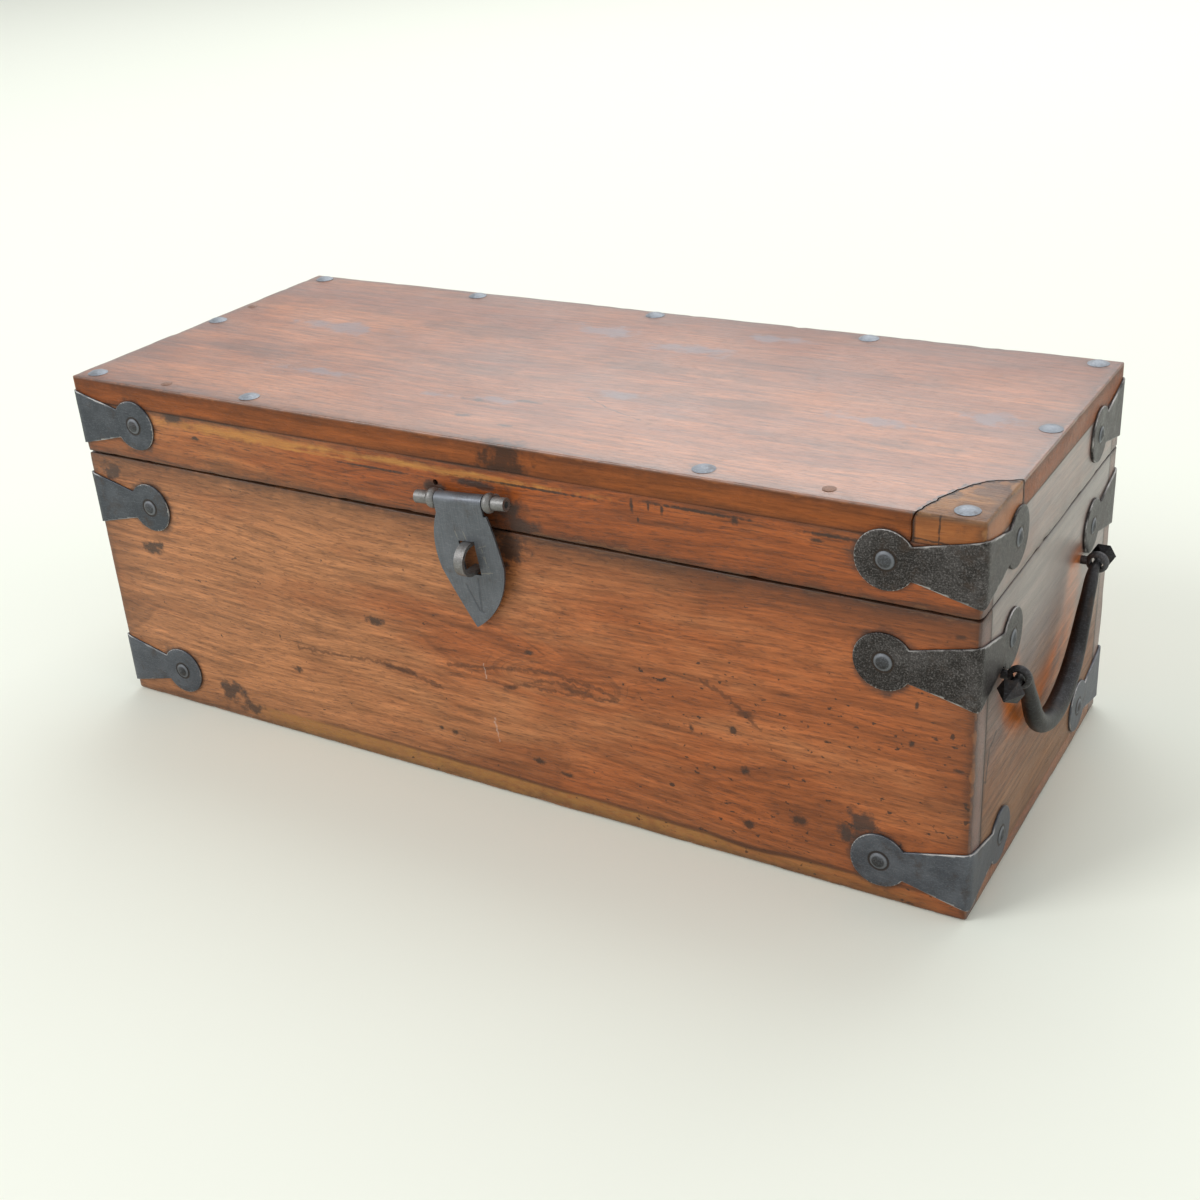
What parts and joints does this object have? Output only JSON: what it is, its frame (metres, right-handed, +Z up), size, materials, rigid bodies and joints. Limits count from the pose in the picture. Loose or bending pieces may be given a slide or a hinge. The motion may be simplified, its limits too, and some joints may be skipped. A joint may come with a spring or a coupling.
{
  "type": "iron-bound lidded wooden chest",
  "caption": "Low wooden box with a lift-up lid hinged at the back, keyhole iron corner straps, a hasp over a staple and a drop handle on each end.",
  "frame": {"origin": "centre of the flat underside", "axes": "+X along the length to the right end as seen from the hasp side, +Y to the hinged back, +Z up"},
  "size_m": [0.6324, 0.2761, 0.2319],
  "materials": {
    "timber": "waxed, worn hardwood",
    "dark_iron": "blackened wrought iron with worn edges",
    "worn_iron": "rubbed wrought iron"
  },
  "bodies": {
    "chest": {"front_board": "timber", "back_board": "timber", "left_end_board": "timber", "right_end_board": "timber", "bottom_board": "timber", "floor_nails": "dark_iron", "hasp_staple": "worn_iron", "body_strap_rivets": "dark_iron", "hinge_body_rivets": "dark_iron", "body_strap_upper_front_left": "dark_iron", "body_strap_lower_front_left": "dark_iron", "body_strap_upper_front_right": "dark_iron", "body_strap_lower_front_right": "dark_iron", "body_strap_upper_back_left": "dark_iron", "body_strap_lower_back_left": "dark_iron", "body_strap_upper_back_right": "dark_iron", "body_strap_lower_back_right": "dark_iron", "handle_eye_right_front": "dark_iron", "handle_eye_right_back": "dark_iron", "handle_eye_left_front": "dark_iron", "handle_eye_left_back": "dark_iron", "hinge_body_leaf_left": "dark_iron", "hinge_body_leaf_right": "dark_iron", "hinge_pin_left": "dark_iron", "hinge_pin_right": "dark_iron"},
    "lid": {"lid_top_board": "timber", "lid_split_corner": "timber", "lid_front_rail": "timber", "lid_back_rail": "timber", "lid_left_rail": "timber", "lid_right_rail": "timber", "lid_top_nails": "dark_iron", "lid_top_brads": "dark_iron", "lid_strap_rivets": "dark_iron", "hinge_lid_rivets": "dark_iron", "hasp_pin": "worn_iron", "hasp_eye_left": "worn_iron", "hasp_eye_right": "worn_iron", "lid_strap_front_left": "dark_iron", "lid_strap_front_right": "dark_iron", "lid_strap_back_left": "dark_iron", "lid_strap_back_right": "dark_iron", "hinge_lid_leaf_left": "dark_iron", "hinge_lid_leaf_right": "dark_iron"},
    "hasp": {"hasp_plate": "dark_iron"},
    "handle_right": {"handle_bail_right": "dark_iron"},
    "handle_left": {"handle_bail_left": "dark_iron"}
  },
  "joints": [
    {"name": "lid_hinge", "type": "hinge", "parent": "chest", "child": "lid", "pos_m": [0, 0.1282, 0.1783], "axis": [-1, 0, 0], "range_deg": [0, 105]},
    {"name": "hasp_swing", "type": "hinge", "parent": "lid", "child": "hasp", "pos_m": [0.0047, -0.131, 0.1959], "axis": [-0.9972, 0, -0.075], "range_deg": [-1.5, 180]},
    {"name": "right_handle_swing", "type": "hinge", "parent": "chest", "child": "handle_right", "pos_m": [0.309, -0.014, 0.1305], "axis": [0, -1, 0], "range_deg": [-1, 175]},
    {"name": "left_handle_swing", "type": "hinge", "parent": "chest", "child": "handle_left", "pos_m": [-0.309, -0.014, 0.1305], "axis": [0, 1, 0], "range_deg": [-1, 175]}
  ]
}
